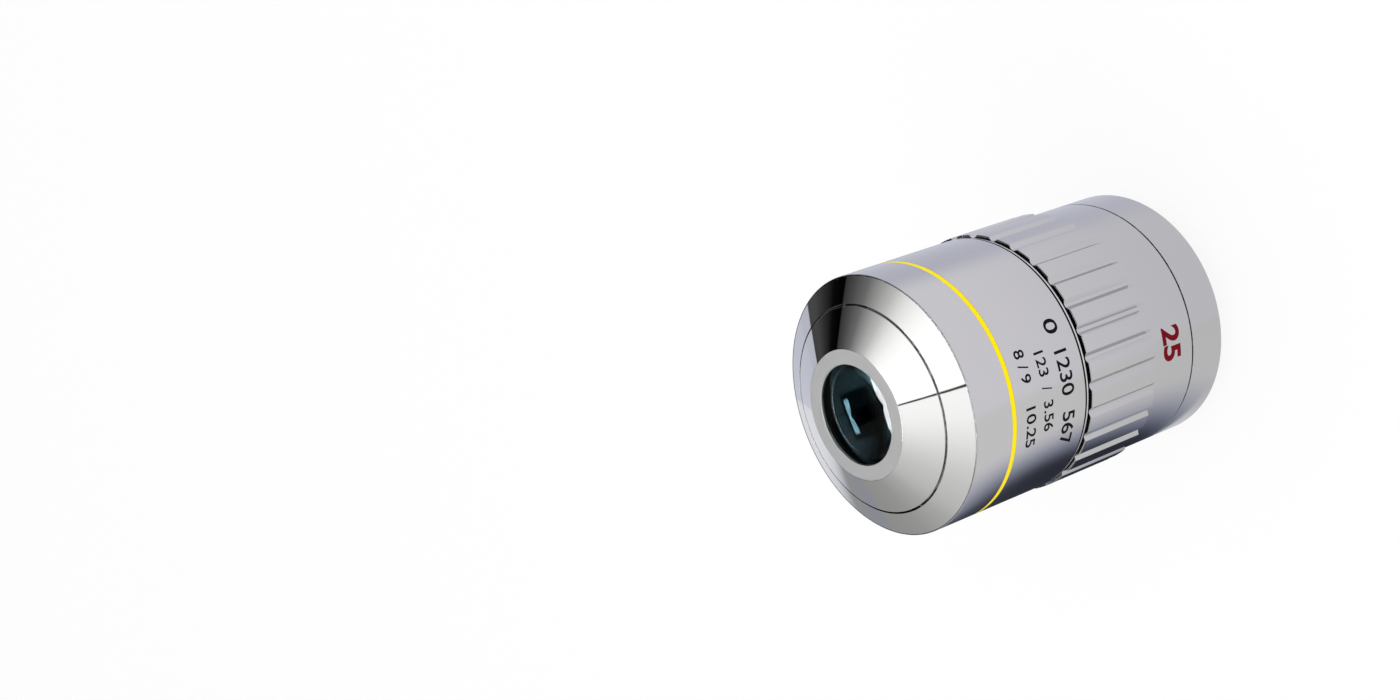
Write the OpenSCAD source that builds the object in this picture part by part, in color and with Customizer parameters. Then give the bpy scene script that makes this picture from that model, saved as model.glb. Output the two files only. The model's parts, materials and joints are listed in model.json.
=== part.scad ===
// Long working distance microscope objective, standing on its mounting thread with its nose up.
// Every piece is turned about the Z axis, and its diameter follows the front barrel, the aperture or
// the mounting thread. A lens surface is given by its bulge, the height of its dome over the lens edge:
// above zero it domes towards the nose, and below zero towards the mount.

/* [Overall] */
// Distance from the mounting shoulder to the nose face
nose_to_shoulder = 76; // [73:0.5:90]

/* [Mount] */
// Outer diameter of the mounting thread
thread_d = 26; // [24:0.5:28]
// Length of the mounting thread below the shoulder
thread_l = 5; // [4:0.1:8]
// Width of the run-out groove between thread and shoulder
runout_w = 0.8; // [0.4:0.1:1.2]
// Depth of the run-out groove
runout_h = 0.5; // [0.2:0.1:0.8]
// Height of the undercut that keeps the shoulder's inner corner clear
undercut_h = 0.1; // [0.05:0.05:0.3]
// Width of that undercut beyond the thread
undercut_w = 0.2; // [0.1:0.05:0.5]
// Lead-in chamfer at the start of the thread
lead_in = 0.5; // [0.2:0.1:0.8]
// Wall between the thread and the clear bore
thread_wall = 2.5; // [1.8:0.1:3.5]
// Width of the shoulder that seats on the nosepiece
shoulder_w = 3.5; // [2:0.1:5]
// Height of that shoulder above the rear cover's end face
shoulder_step = 0.1; // [0.05:0.05:0.5]
// Thickness of the mount's floor, from the shoulder to the shim
floor_t = 3.5; // [2.8:0.1:5]
// Wall of the carrying sleeve that the outer sleeves slide on
carrier_wall = 2; // [1.5:0.1:2.2]
// Length of carrying sleeve that stands past the front barrel's collar
carrier_over = 1; // [0.5:0.5:3]

/* [Rear cover] */
// Length of the rear cover
cover_l = 9; // [7:0.1:14]
// Thickness of the rear cover's end wall
cover_wall = 1.5; // [1:0.1:2]
// Chamfer on the rear cover's outer end
cover_chamfer = 0.4; // [0.2:0.1:1]

/* [Grip sleeve] */
// Step from the front barrel down to the plain band and the rear cover
band_step = 0.4; // [0.1:0.1:1]
// Length of the plain band
band_l = 11.5; // [6:0.1:18]
// Width of the seam groove between rear cover and grip sleeve
seam_w = 0.4; // [0.2:0.1:1]
// Depth of that seam groove
seam_h = 0.6; // [0.3:0.1:1]
// Rise of the ribs above the front barrel
rib_rise = 0.4; // [0.1:0.1:0.8]
// Length of the ribs
rib_l = 18.3; // [10:0.1:24]
// Number of ribs
rib_count = 30; // [12:1:36]
// Width of the flute between two ribs
flute_w = 2.2; // [1.2:0.1:3.2]
// Depth of the flute
flute_h = 0.7; // [0.3:0.05:0.9]
// Angle from the X axis to the first flute
flute_turn = 8.5; // [0:0.5:12]
// Chamfer on the front ends of the ribs
rib_chamfer = 0.35; // [0.1:0.05:0.6]

/* [Lock ring] */
// Step from the front barrel down to the lock ring's thin collar
lock_step = 0.4; // [0.1:0.1:1]
// Thickness of the thin collar
lock_t = 0.35; // [0.2:0.05:1]
// Depth of the gaps beside that collar, from the front barrel to the lock ring's hub
lock_gap_h = 1.2; // [0.6:0.1:1.6]
// Gap between grip sleeve and collar
lock_gap_rear = 0.35; // [0.2:0.05:1]
// Gap between collar and front barrel
lock_gap_front = 0.7; // [0.3:0.05:1.5]

/* [Front barrel] */
// Diameter of the front barrel, which every sleeve and the lens tube follow
barrel_d = 52; // [46:0.5:60]
// Wall of the front barrel ahead of its collar
barrel_wall = 1.5; // [1:0.1:1.8]
// Wall of the thick collar that screws onto the carrying sleeve
collar_wall = 2.75; // [2.3:0.05:3.2]
// Length of that collar
collar_l = 11; // [6:0.5:14]
// Chamfer on both ends of the front barrel
barrel_chamfer = 0.2; // [0.1:0.05:0.5]
// Distance from the barrel's front end to the coloured ring
colour_drop = 9.3; // [4:0.1:14]
// Width of the coloured ring
colour_w = 1.1; // [0.6:0.1:3]
// Depth of the coloured ring's groove
colour_h = 0.2; // [0.1:0.05:0.5]

/* [Nose] */
// Height of both cones together, from the front barrel's end to the nose face
cone_h = 6.4; // [4:0.1:9]
// Step from the front barrel in to the foot of the outer cone
cone_step = 0.25; // [0.1:0.05:0.6]
// Width of the outer cone, seen from the front
cone_ring_w = 5.15; // [4:0.05:6]
// Chamfer on each side of that seam
cone_seam_chamfer = 0.15; // [0.05:0.05:0.3]
// Diameter of the clear aperture in the nose
aperture_d = 19.8; // [16:0.2:23]
// Width of the flat nose face round the aperture
face_w = 3.1; // [2:0.1:4]
// Bevel round the aperture
aperture_bevel = 0.15; // [0.05:0.05:0.3]
// Thickness of the lip round the aperture
lip_t = 0.6; // [0.4:0.1:0.8]
// Step from the seam in to the nose cap's threaded skirt
skirt_step = 1.8; // [1:0.1:2.4]
// Length of the skirt
skirt_l = 3; // [2:0.1:3.4]
// Wall of the skirt
skirt_wall = 1.2; // [0.8:0.1:2]
// Length of the nose cone's spigot inside the front barrel
spigot_l = 5; // [3:0.5:8]
// Wall of that spigot
spigot_wall = 1.9; // [1.2:0.1:2.5]

/* [Lens tube] */
// Wall of the lens tube inside the carrying sleeve
tube_wall = 2.15; // [1.8:0.05:2.3]
// Wall of the tube's thinner neck
neck_wall = 1.2; // [1:0.1:1.5]
// Gap between the front cell's flange and the nose cap's skirt
flange_gap = 0.5; // [0.2:0.1:2]
// Thickness of the lip that the lens stack stands on
tube_lip_t = 1.5; // [1:0.1:2.5]
// Step from the mount's bore out to the opening inside that lip
tube_lip_step = 1; // [0.2:0.1:2]
// Thickness of the parfocal shim
shim_t = 0.4; // [0.2:0.05:0.8]
// Length of the threaded ring that holds the lens tube
tube_ring_l = 3; // [2:0.5:4]
// Thickness of the ring that clamps the lens stack
stack_ring_t = 2; // [1.5:0.1:2.5]
// Depth of the front cell's thread in the lens tube
front_thread_l = 3; // [2:0.1:4]
// Clear space between the front cell and the stack ring
stack_ring_gap = 0.5; // [0.3:0.1:1]
// Diameter of the centring screws
screw_d = 2.5; // [2:0.5:3]
// Length of the centring screws
screw_l = 3; // [2:0.5:4]
// Diameter of the point on each centring screw
screw_point_d = 1.2; // [0.8:0.1:1.6]
// Number of centring screws
screw_count = 3; // [3:1:6]

/* [Lens cells] */
// Width of the seat under a lens
seat_w = 1.2; // [0.8:0.1:1.5]
// Thickness of the seat
seat_t = 1.2; // [0.8:0.1:2]
// Width of a lens ring
ring_w = 1.4; // [1:0.1:1.8]
// Thickness of a lens ring
ring_t = 1.5; // [1:0.1:2]
// Height of the cell's rim above its lens ring
rim_h = 0.2; // [0.1:0.05:0.5]
// Depth of the relief groove round each cell
relief_h = 0.4; // [0.2:0.1:0.6]
// Height of the lands above and below the relief groove
land_h = 1.6; // [1:0.1:2]
// Width of the spanner slots in the threaded rings
slot_w = 1; // [0.6:0.1:1.6]
// Depth of the spanner slots
slot_h = 0.6; // [0.3:0.1:0.9]
// Wall of the spacers
spacer_wall = 2; // [1.2:0.1:2.4]
// Width of the flat land round each hollow lens surface
land_w = 0.3; // [0.1:0.05:0.6]

/* [Front lens] */
// Overlap of the front lens behind the edge of the aperture
front_overlap = 1.1; // [0.8:0.1:1.6]
// Thickness of the front lens
front_t = 5.5; // [4:0.1:6]
// Bulge of the front lens's rear surface
front_back_sag = -0.9; // [-1.5:0.1:-0.3]
// Bulge of the front lens's front surface
front_front_sag = 1.6; // [0.8:0.1:2]
// Depth of the front lens below the nose face
front_recess = 0.15; // [0.05:0.05:0.5]
// Wall of the front cell's snout
snout_wall = 1.55; // [1:0.05:1.7]
// Thickness of the front cell's flange
flange_t = 1.2; // [0.8:0.1:1.4]
// Step from the front lens's bore out to the wider bore behind it
front_bore_step = 2.45; // [1.5:0.05:3]

/* [Meniscus] */
// Wall of the meniscus cell
meniscus_wall = 4.4; // [3:0.1:6]
// Thickness of the meniscus lens
meniscus_t = 5; // [4:0.1:6.5]
// Bulge of the meniscus lens's rear surface
meniscus_back_sag = -4; // [-4.6:0.1:-2]
// Bulge of the meniscus lens's front surface
meniscus_front_sag = -1.5; // [-2.5:0.1:-0.6]
// Air space between triplet and meniscus
meniscus_air = 1.2; // [0.6:0.1:3]

/* [Triplet] */
// Wall of the triplet cell
triplet_wall = 2.9; // [2:0.1:5]
// Thickness of the triplet's rear element
triplet_back_t = 5.5; // [5:0.1:7]
// Thickness of the triplet's middle element
triplet_core_t = 2; // [1.2:0.1:3]
// Thickness of the triplet's front element
triplet_front_t = 5.5; // [5:0.1:7]
// Bulge of the triplet's rear surface
triplet_back_sag = -1.8; // [-2.2:0.1:-0.8]
// Bulge of the triplet's rear cemented surface
triplet_inner_back_sag = 2.6; // [1.4:0.1:2.8]
// Bulge of the triplet's front cemented surface
triplet_inner_front_sag = -2.6; // [-2.8:0.1:-1.4]
// Bulge of the triplet's front surface
triplet_front_sag = 1.8; // [0.8:0.1:2.2]

/* [Front doublet] */
// Wall of the front doublet's cell
front_doublet_wall = 4.4; // [3:0.1:6]
// Thickness of the front doublet's flint
front_doublet_flint_t = 2; // [1.4:0.1:3]
// Thickness of the front doublet's crown
front_doublet_crown_t = 5.5; // [4.8:0.1:6.5]
// Bulge of the front doublet's rear surface
front_doublet_back_sag = 0.7; // [0.3:0.1:1.2]
// Bulge of the front doublet's cemented surface
front_doublet_inner_sag = -2.6; // [-2.8:0.1:-1.4]
// Bulge of the front doublet's front surface
front_doublet_front_sag = 1.8; // [0.8:0.1:2.2]
// Air space between the two doublets
front_doublet_air = 4.2; // [3.4:0.1:5.5]
// Thickness of the aperture stop
stop_t = 0.5; // [0.3:0.1:1]
// Step from the front doublet's edge in to the hole of the aperture stop
stop_step = 2.5; // [1.5:0.1:6]

/* [Rear doublet] */
// Wall of the rear doublet's cell
rear_doublet_wall = 6.4; // [5:0.1:7.5]
// Thickness of the rear doublet's flint
rear_doublet_flint_t = 1.8; // [1.4:0.1:3]
// Thickness of the rear doublet's crown
rear_doublet_crown_t = 5; // [4.4:0.1:6]
// Bulge of the rear doublet's rear surface
rear_doublet_back_sag = -1.1; // [-1.4:0.1:-0.4]
// Bulge of the rear doublet's cemented surface
rear_doublet_inner_sag = -2.4; // [-2.6:0.1:-1.4]
// Bulge of the rear doublet's front surface
rear_doublet_front_sag = 1.6; // [0.8:0.1:1.9]
// Air space between rear lens and rear doublet
rear_doublet_air = 2.5; // [1.4:0.1:4]

/* [Rear lens] */
// Wall of the rear cell
rear_wall = 7.9; // [7:0.1:9]
// Thickness of the rear lens
rear_t = 3.5; // [2.5:0.1:5]
// Bulge of the rear lens's rear surface
rear_back_sag = 2.6; // [1.4:0.1:3]
// Bulge of the rear lens's front surface
rear_front_sag = 2.1; // [1:0.1:2.5]

/* [Clearances] */
// Radial clearance between sleeves that slide or screw together
fit_gap = 0.05; // [0.02:0.01:0.1]
// Radial clearance of the cells in the lens tube
cell_gap = 0.03; // [0.01:0.01:0.08]
// Radial clearance of a lens in its cell
lens_gap = 0.05; // [0.02:0.01:0.1]
// Clearance between glass and the edge that it rests on
seat_gap = 0.02; // [0.01:0.01:0.05]
// Cement between two glass elements
cement = 0.02; // [0.01:0.01:0.05]
// Space between the nose cap and the front cell inside it
nose_gap = 0.1; // [0.05:0.05:0.3]
// Radial space round the front cell's snout
snout_gap = 0.3; // [0.1:0.1:0.5]

/* [Hidden] */
$fn = 128;
cut = 1; // how far a cutting shape runs past what it cuts

// Radii, from the front barrel in to the lens cells
barrel_r = barrel_d / 2;
barrel_bore_r = barrel_r - barrel_wall;
sleeve_bore_r = barrel_r - collar_wall;
carrier_r = sleeve_bore_r - fit_gap;
carrier_bore_r = carrier_r - carrier_wall;
tube_r = carrier_bore_r - fit_gap;
tube_bore_r = tube_r - tube_wall;
neck_r = tube_bore_r + neck_wall;
cell_r = tube_bore_r - cell_gap;

// Radii of the grip, the nose and the mount
rib_r = barrel_r + rib_rise;
band_r = barrel_r - band_step;
seam_floor_r = band_r - seam_h;
cone_base_r = barrel_r - cone_step;
cone_seam_r = cone_base_r - cone_ring_w;
skirt_r = cone_seam_r - skirt_step;
aperture_r = aperture_d / 2;
face_r = aperture_r + face_w;
thread_r = thread_d / 2;
mount_bore_r = thread_r - thread_wall;
shoulder_r = thread_r + shoulder_w;
tube_lip_r = mount_bore_r + tube_lip_step;

// Heights, from the thread's end up to the nose
z_shoulder = thread_l;
z_cover_face = z_shoulder + shoulder_step;
z_cover_top = z_shoulder + cover_l;
z_grip = z_cover_top + seam_w;
z_ribs = z_grip + band_l;
z_grip_top = z_ribs + rib_l;
z_lock_collar = z_grip_top + lock_gap_rear;
z_barrel = z_lock_collar + lock_t + lock_gap_front;
z_carrier_top = z_barrel + collar_l + carrier_over;
z_nose = z_shoulder + nose_to_shoulder;
cone_slope = cone_h / (cone_base_r - face_r);
z_barrel_top = z_nose - cone_h;
z_cone_seam = z_barrel_top + cone_ring_w * cone_slope;
z_colour = z_barrel_top - colour_drop - colour_w;
z_tube = z_shoulder + floor_t + shim_t;
z_tube_step = z_carrier_top - tube_ring_l;
z_tube_top = z_cone_seam - skirt_l - flange_gap - flange_t;
z_stack_ring = z_tube_top - front_thread_l - stack_ring_gap - stack_ring_t;

// Radius of the sphere that bulges by sag over a lens of radius r, with the sign of the bulge
function sphere(r, sag) = (r * r + sag * sag) / (2 * sag);
// A lens group as [radius, thicknesses, surface radii], each list from the mount upwards
function group(wall, thicknesses, sags) = let(r = cell_r - wall - lens_gap)
    [r, thicknesses, [for (sag = sags) sphere(r, sag)]];
rear_group = group(rear_wall, [rear_t], [rear_back_sag, rear_front_sag]);
rear_doublet = group(rear_doublet_wall, [rear_doublet_flint_t, rear_doublet_crown_t],
    [rear_doublet_back_sag, rear_doublet_inner_sag, rear_doublet_front_sag]);
front_doublet = group(front_doublet_wall, [front_doublet_flint_t, front_doublet_crown_t],
    [front_doublet_back_sag, front_doublet_inner_sag, front_doublet_front_sag]);
triplet = group(triplet_wall, [triplet_back_t, triplet_core_t, triplet_front_t],
    [triplet_back_sag, triplet_inner_back_sag, triplet_inner_front_sag, triplet_front_sag]);
meniscus = group(meniscus_wall, [meniscus_t], [meniscus_back_sag, meniscus_front_sag]);

// Drop of a surface of radius sr from its vertex, at distance r from the axis
function drop(sr, r) = sign(sr) * (abs(sr) - sqrt(sr * sr - r * r));
function total(list, count) = count == 0 ? 0 : list[count - 1] + total(list, count - 1);
function lens_r(g) = g[0];
function seat_r(g) = lens_r(g) - seat_w;
function ring_r(g) = lens_r(g) - ring_w;
function last(list) = list[len(list) - 1];
// Segments of a lens surface's arc, about one for each millimetre
function arc_segments(sr) = ceil(2 * PI * abs(sr));
// Height of the group's rear vertex above the foot of its cell
function z_back(g) = seat_t + seat_gap + drop(g[2][0], g[2][0] < 0 ? seat_r(g) : lens_r(g) - land_w);
function z_element(g, i) = z_back(g) + total(g[1], i) + cement * i;
function z_front(g) = z_element(g, len(g[1])) - cement;
function z_ring(g) =
    z_front(g) - drop(last(g[2]), last(g[2]) > 0 ? ring_r(g) : lens_r(g) - land_w) + seat_gap;
function cell_h(g) = z_ring(g) + ring_t + rim_h;
// Height of the spacer that keeps an air space between two groups
function spacer_h(below, above, air) = air + z_front(below) - cell_h(below) - z_back(above);

// The stack below the adjusting spacer stands on the tube's lip
z_rear_cell = z_tube + tube_lip_t;
z_rear_spacer = z_rear_cell + cell_h(rear_group);
z_rear_doublet = z_rear_spacer + spacer_h(rear_group, rear_doublet, rear_doublet_air);
z_doublet_spacer = z_rear_doublet + cell_h(rear_doublet);
z_front_doublet = z_doublet_spacer + spacer_h(rear_doublet, front_doublet, front_doublet_air);
z_stop = z_front_doublet + cell_h(front_doublet);
z_adjusting_spacer = z_stop + stop_t;
// The stack above it hangs from the clamping ring
z_meniscus = z_stack_ring - cell_h(meniscus);
z_triplet_spacer = z_meniscus - spacer_h(triplet, meniscus, meniscus_air);
z_triplet = z_triplet_spacer - cell_h(triplet);

// Front lens, seated on the lip of its own cell and held from behind
front_r = aperture_r + front_overlap;
front_back_r = sphere(front_r, front_back_sag);
front_front_r = sphere(front_r, front_front_sag);
snout_bore_r = front_r + lens_gap;
snout_r = snout_bore_r + snout_wall;
front_bore_r = snout_bore_r + front_bore_step;
front_lip_r = aperture_r + snout_gap;
z_front_vertex = z_nose - front_recess;
z_front_lip = z_front_vertex - drop(front_front_r, front_lip_r) + seat_gap;
z_front_cell_top = z_nose - lip_t - nose_gap;
z_front_back = z_front_vertex - front_t;
front_ring_r = front_r - ring_w;
z_front_ring = z_front_back - drop(front_back_r, front_ring_r) - seat_gap - ring_t;

// A plain ring, given by its section
module ring(inner_r, outer_r, z0, z1) {
    rotate_extrude() translate([inner_r, z0]) square([outer_r - inner_r, z1 - z0]);
}

// A ring with two spanner slots across its upper face, or its lower face when under is true
module slotted_ring(inner_r, outer_r, z0, t, under = false) {
    z_slot = under ? z0 - cut : z0 + t - slot_h;
    difference() {
        ring(inner_r, outer_r, z0, z0 + t);
        translate([-outer_r - cut, -slot_w / 2, z_slot])
            cube([2 * (outer_r + cut), slot_w, slot_h + cut]);
    }
}

// One glass element between a lower surface of radius r0 and an upper surface of radius r1
module glass(lens_r, t, r0, r1) {
    z_low = r0 < 0 ? -cut : -drop(r0, lens_r - land_w);
    z_high = r1 > 0 ? t + cut : t - drop(r1, lens_r - land_w);
    rotate_extrude() difference() {
        intersection() {
            translate([0, z_low]) square([lens_r, z_high - z_low]);
            if (r1 > 0) translate([0, t - r1]) circle(r1, $fn = arc_segments(r1));
            if (r0 < 0) translate([0, -r0]) circle(-r0, $fn = arc_segments(r0));
        }
        if (r1 < 0) translate([0, t - r1]) circle(-r1, $fn = arc_segments(r1));
        if (r0 > 0) translate([0, -r0]) circle(r0, $fn = arc_segments(r0));
    }
}

// Element number i of a group, counted from the mount
module element(g, i) {
    translate([0, 0, z_element(g, i)]) glass(lens_r(g), g[1][i], g[2][i], g[2][i + 1]);
}

// The turned cell that carries a group, with a relief groove between two lands
module cell(g) {
    h = cell_h(g);
    bore_r = lens_r(g) + lens_gap;
    rotate_extrude() polygon([
        [seat_r(g), 0], [cell_r, 0], [cell_r, land_h], [cell_r - relief_h, land_h + relief_h],
        [cell_r - relief_h, h - land_h - relief_h], [cell_r, h - land_h], [cell_r, h],
        [bore_r, h], [bore_r, seat_t], [seat_r(g), seat_t]]);
}

module cell_ring(g) {
    slotted_ring(ring_r(g), lens_r(g) + lens_gap - seat_gap, z_ring(g), ring_t);
}

module spacer(z0, z1) {
    ring(cell_r - spacer_wall, cell_r, z0, z1);
}

// Inner cone, nose face, lip and threaded skirt
module nose_cap() {
    c = cone_seam_chamfer;
    color([0.9, 0.9, 0.92]) rotate_extrude() polygon([
        [aperture_r + aperture_bevel, z_nose], [face_r, z_nose],
        [cone_seam_r - c, z_cone_seam + c * cone_slope], [cone_seam_r - c, z_cone_seam],
        [skirt_r, z_cone_seam], [skirt_r, z_cone_seam - skirt_l],
        [skirt_r - skirt_wall, z_cone_seam - skirt_l], [skirt_r - skirt_wall, z_cone_seam],
        [snout_r + snout_gap, z_cone_seam], [snout_r + snout_gap, z_nose - lip_t],
        [aperture_r, z_nose - lip_t], [aperture_r, z_nose - aperture_bevel]]);
}

// Outer cone, with the bore that takes the nose cap's skirt and a spigot into the barrel
module nose_cone() {
    c = cone_seam_chamfer;
    skirt_bore_r = skirt_r + fit_gap;
    spigot_r = barrel_bore_r - fit_gap;
    z_step = z_cone_seam - skirt_l;
    color([0.86, 0.86, 0.88]) rotate_extrude() polygon([
        [skirt_bore_r, z_cone_seam], [cone_seam_r - c, z_cone_seam], [cone_seam_r, z_cone_seam - c],
        [cone_seam_r + c, z_cone_seam - c * cone_slope], [cone_base_r, z_barrel_top],
        [spigot_r, z_barrel_top], [spigot_r, z_barrel_top - spigot_l],
        [spigot_r - spigot_wall, z_barrel_top - spigot_l], [spigot_r - spigot_wall, z_step],
        [skirt_bore_r, z_step]]);
}

// Front sleeve, with a groove for the coloured ring and a thick collar at its rear end
module front_barrel() {
    r = barrel_r;
    c = barrel_chamfer;
    z_collar_top = z_barrel + collar_l;
    color([0.74, 0.74, 0.76]) rotate_extrude() polygon([
        [sleeve_bore_r, z_barrel], [r - c, z_barrel], [r, z_barrel + c],
        [r, z_colour], [r - colour_h, z_colour], [r - colour_h, z_colour + colour_w],
        [r, z_colour + colour_w], [r, z_barrel_top - c], [r - c, z_barrel_top],
        [barrel_bore_r, z_barrel_top], [barrel_bore_r, z_collar_top], [sleeve_bore_r, z_collar_top]]);
}

module colour_band() {
    color([1, 0.9, 0]) ring(barrel_r - colour_h, barrel_r, z_colour, z_colour + colour_w);
}

// Thin collar on a narrower hub that fills the gap between grip sleeve and front barrel
module lock_ring() {
    hub_r = barrel_r - lock_gap_h;
    lock_r = barrel_r - lock_step;
    color([0.8, 0.8, 0.82]) rotate_extrude() polygon([
        [sleeve_bore_r, z_grip_top], [hub_r, z_grip_top], [hub_r, z_lock_collar],
        [lock_r, z_lock_collar], [lock_r, z_lock_collar + lock_t],
        [hub_r, z_lock_collar + lock_t], [hub_r, z_barrel], [sleeve_bore_r, z_barrel]]);
}

// Plain band and ribs in one sleeve, with round-bottomed flutes milled along the ribs
module grip_sleeve() {
    r = rib_r;
    cutter_r = flute_w * flute_w / (8 * flute_h) + flute_h / 2;
    color([0.72, 0.72, 0.74]) difference() {
        rotate_extrude() polygon([
            [sleeve_bore_r, z_grip], [band_r, z_grip], [band_r, z_ribs],
            [r - rib_chamfer / 2, z_ribs], [r, z_ribs + rib_chamfer / 2], [r, z_grip_top - rib_chamfer],
            [r - rib_chamfer, z_grip_top], [sleeve_bore_r, z_grip_top]]);
        for (i = [0 : rib_count - 1])
            rotate(flute_turn + i * 360 / rib_count)
                translate([r - flute_h + cutter_r, 0, z_ribs - cut])
                    cylinder(r = cutter_r, h = rib_l + 2 * cut, $fn = 48);
    }
}

// Cup that closes the rear end round the mounting shoulder
module rear_cover() {
    r = band_r;
    hole_r = shoulder_r + fit_gap;
    z_inside = z_cover_face + cover_wall;
    color([0.72, 0.72, 0.74]) rotate_extrude() polygon([
        [hole_r, z_cover_face], [r - cover_chamfer, z_cover_face], [r, z_cover_face + cover_chamfer],
        [r, z_cover_top], [seam_floor_r, z_cover_top], [seam_floor_r, z_grip],
        [sleeve_bore_r, z_grip], [sleeve_bore_r, z_inside], [hole_r, z_inside]]);
}

// Mounting thread, shoulder, floor and the carrying sleeve, turned from one bar
module mount_body() {
    r = thread_r;
    bore_r = mount_bore_r;
    z_floor = z_shoulder + floor_t;
    z_flange = z_cover_face + cover_wall + fit_gap;
    color([0.62, 0.62, 0.64]) rotate_extrude() polygon([
        [bore_r, 0], [r - lead_in, 0], [r, lead_in], [r, z_shoulder - runout_w],
        [r - runout_h, z_shoulder - runout_w], [r - runout_h, z_shoulder + undercut_h],
        [r + undercut_w, z_shoulder + undercut_h], [r + undercut_w, z_shoulder], [shoulder_r, z_shoulder],
        [shoulder_r, z_flange], [carrier_r, z_flange], [carrier_r, z_carrier_top],
        [carrier_bore_r, z_carrier_top], [carrier_bore_r, z_floor], [bore_r, z_floor]]);
}

module parfocal_shim() {
    color([0.8, 0.78, 0.7]) ring(tube_lip_r, tube_r, z_tube - shim_t, z_tube);
}

// Inner barrel with a lip at its foot, a step for its ring and tapped holes for the centring screws
module lens_tube() {
    bore_r = tube_bore_r;
    color([0.16, 0.16, 0.17]) difference() {
        rotate_extrude() polygon([
            [tube_lip_r, z_tube], [tube_r, z_tube], [tube_r, z_tube_step], [neck_r, z_tube_step],
            [neck_r, z_tube_top], [bore_r, z_tube_top], [bore_r, z_rear_cell], [tube_lip_r, z_rear_cell]]);
        screw_places() cylinder(d = screw_d + 2 * fit_gap, h = neck_wall + 2 * cut, center = true);
    }
}

// Puts its child halfway through the neck's wall, at each centring screw, with Z pointing outwards
module screw_places() {
    z = z_meniscus + cell_h(meniscus) / 2;
    for (i = [0 : screw_count - 1])
        rotate(i * 360 / screw_count)
            translate([neck_r - neck_wall / 2, 0, z]) rotate([0, 90, 0]) children();
}

// Grub screws whose points stand in the meniscus cell's relief groove
module centring_screws() {
    tip = cell_r - relief_h + seat_gap - (neck_r - neck_wall / 2);
    color([0.35, 0.35, 0.37]) screw_places() translate([0, 0, tip]) {
        cylinder(d = screw_point_d, h = screw_l);
        translate([0, 0, relief_h]) cylinder(d = screw_d, h = screw_l - relief_h);
    }
}

module tube_ring() {
    color([0.2, 0.2, 0.21]) slotted_ring(neck_r + fit_gap, tube_r, z_tube_step, tube_ring_l);
}

module stack_ring() {
    color([0.2, 0.2, 0.21]) slotted_ring(cell_r - spacer_wall, cell_r, z_stack_ring, stack_ring_t);
}

// Snout, flange and threaded foot of the cell that carries the front lens
module front_cell() {
    z_foot = z_tube_top - front_thread_l;
    color([0.5, 0.4, 0.2]) rotate_extrude() polygon([
        [front_bore_r, z_foot], [cell_r, z_foot], [cell_r, z_tube_top], [neck_r, z_tube_top],
        [neck_r, z_tube_top + flange_t], [snout_r, z_tube_top + flange_t], [snout_r, z_front_cell_top],
        [front_lip_r, z_front_cell_top], [front_lip_r, z_front_lip], [snout_bore_r, z_front_lip],
        [snout_bore_r, z_tube_top], [front_bore_r, z_tube_top]]);
}

module front_lens() {
    color([0.55, 0.8, 0.8, 0.6]) translate([0, 0, z_front_back])
        glass(front_r, front_t, front_back_r, front_front_r);
}

module front_lens_ring() {
    color([0.2, 0.2, 0.21])
        slotted_ring(front_ring_r, snout_bore_r - seat_gap, z_front_ring, ring_t, under = true);
}

module brass() {
    color([0.62, 0.5, 0.26]) children();
}

module blackened() {
    color([0.2, 0.2, 0.21]) children();
}

module crown_glass() {
    color([0.7, 0.88, 0.9, 0.6]) children();
}

module flint_glass() {
    color([0.8, 0.85, 0.7, 0.6]) children();
}

module at(z) {
    translate([0, 0, z]) children();
}

module meniscus_cell() { brass() at(z_meniscus) cell(meniscus); }
module meniscus_lens() { crown_glass() at(z_meniscus) element(meniscus, 0); }
module meniscus_ring() { blackened() at(z_meniscus) cell_ring(meniscus); }
module triplet_spacer() { blackened() spacer(z_triplet_spacer, z_meniscus); }
module triplet_cell() { brass() at(z_triplet) cell(triplet); }
module triplet_back() { crown_glass() at(z_triplet) element(triplet, 0); }
module triplet_core() { flint_glass() at(z_triplet) element(triplet, 1); }
module triplet_front() { crown_glass() at(z_triplet) element(triplet, 2); }
module triplet_ring() { blackened() at(z_triplet) cell_ring(triplet); }
module adjusting_spacer() { blackened() spacer(z_adjusting_spacer, z_triplet); }
module aperture_stop() {
    blackened() ring(lens_r(front_doublet) - stop_step, cell_r, z_stop, z_stop + stop_t);
}

module front_doublet_cell() { brass() at(z_front_doublet) cell(front_doublet); }
module front_doublet_flint() { flint_glass() at(z_front_doublet) element(front_doublet, 0); }
module front_doublet_crown() { crown_glass() at(z_front_doublet) element(front_doublet, 1); }
module front_doublet_ring() { blackened() at(z_front_doublet) cell_ring(front_doublet); }
module doublet_spacer() { blackened() spacer(z_doublet_spacer, z_front_doublet); }
module rear_doublet_cell() { brass() at(z_rear_doublet) cell(rear_doublet); }
module rear_doublet_flint() { flint_glass() at(z_rear_doublet) element(rear_doublet, 0); }
module rear_doublet_crown() { crown_glass() at(z_rear_doublet) element(rear_doublet, 1); }
module rear_doublet_ring() { blackened() at(z_rear_doublet) cell_ring(rear_doublet); }
module rear_spacer() { blackened() spacer(z_rear_spacer, z_rear_doublet); }
module rear_cell() { brass() at(z_rear_cell) cell(rear_group); }
module rear_lens() { crown_glass() at(z_rear_cell) element(rear_group, 0); }
module rear_lens_ring() { blackened() at(z_rear_cell) cell_ring(rear_group); }

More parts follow.
